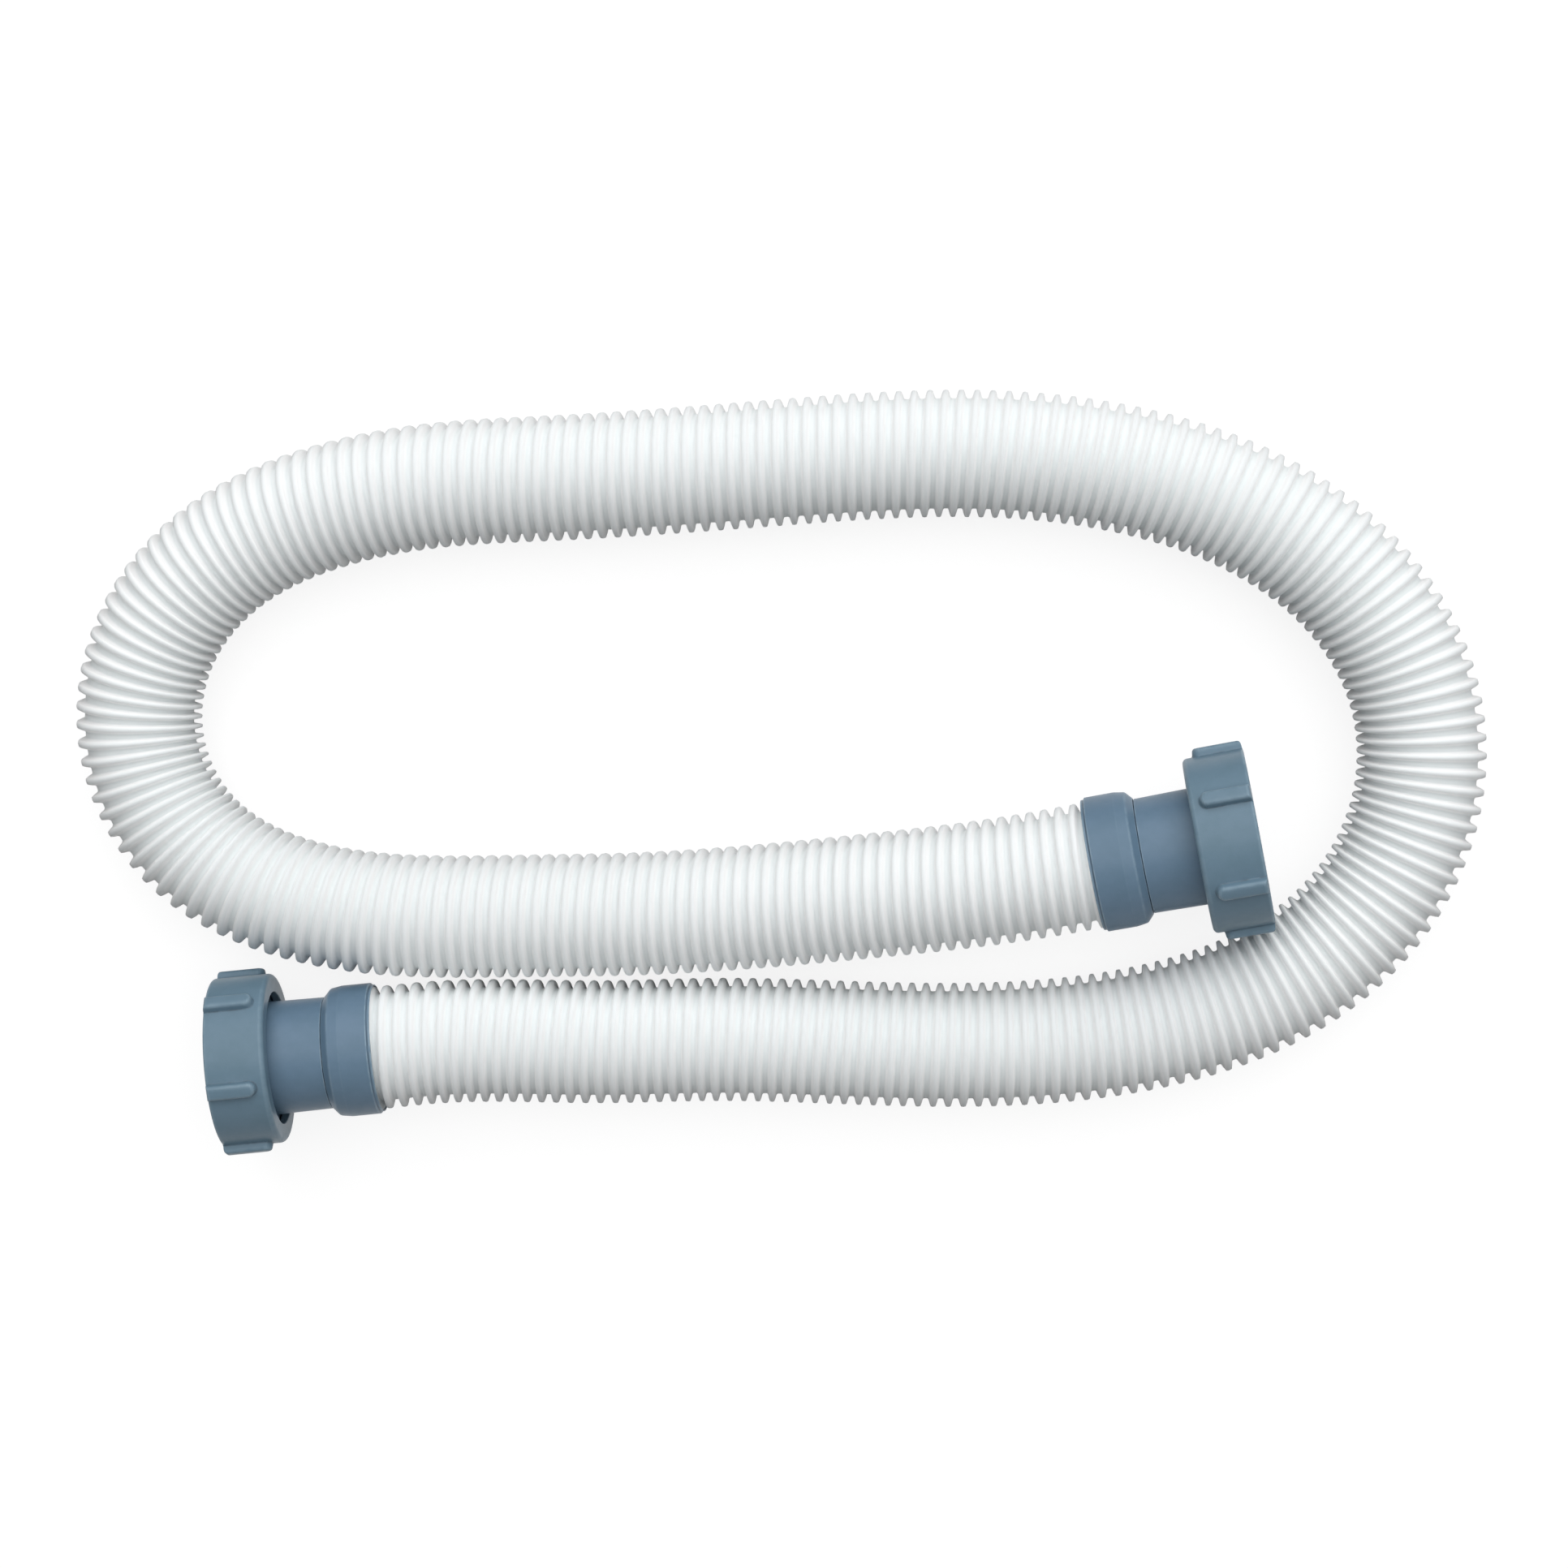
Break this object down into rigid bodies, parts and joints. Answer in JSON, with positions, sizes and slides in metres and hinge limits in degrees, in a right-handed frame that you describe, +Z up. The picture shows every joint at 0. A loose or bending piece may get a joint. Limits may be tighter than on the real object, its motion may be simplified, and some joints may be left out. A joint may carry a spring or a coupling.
{
  "type": "vacuum hose",
  "caption": "Corrugated white water hose lying in an open loop, with a cuff, flanged tail, flat gasket and loose threaded coupling nut at each end.",
  "frame": {"origin": "on the floor, under the middle of the box round the two end fittings", "axes": "+X from fitting A to fitting B along the hose's long side, +Y towards the far side of the loop, +Z up from the floor it lies on"},
  "size_m": [0.5094, 0.276, 0.0769],
  "materials": {
    "white_plastic": "semi-matt, slightly translucent white polyethylene",
    "blue_grey_plastic": "moulded blue-grey plastic with a soft sheen",
    "black_rubber": "matt black moulded rubber"
  },
  "bodies": {
    "hose_and_tails": {"hose": "white_plastic", "hose_cuff_a": "blue_grey_plastic", "hose_cuff_b": "blue_grey_plastic", "flanged_tail_a": "blue_grey_plastic", "flanged_tail_b": "blue_grey_plastic", "gasket_a": "black_rubber", "gasket_b": "black_rubber"},
    "nut_a": {"coupling_nut_a": "blue_grey_plastic"},
    "nut_b": {"coupling_nut_b": "blue_grey_plastic"}
  },
  "joints": [
    {"name": "nut_a_spin", "type": "hinge", "parent": "hose_and_tails", "child": "nut_a", "pos_m": [-0.16694, -0.04297, 0.03307], "axis": [-0.9903, -0.0919, 0.1045], "continuous": true},
    {"name": "nut_b_spin", "type": "hinge", "parent": "hose_and_tails", "child": "nut_b", "pos_m": [0.16491, 0.03941, 0.04335], "axis": [0.9762, 0.1986, 0.0872], "continuous": true}
  ]
}
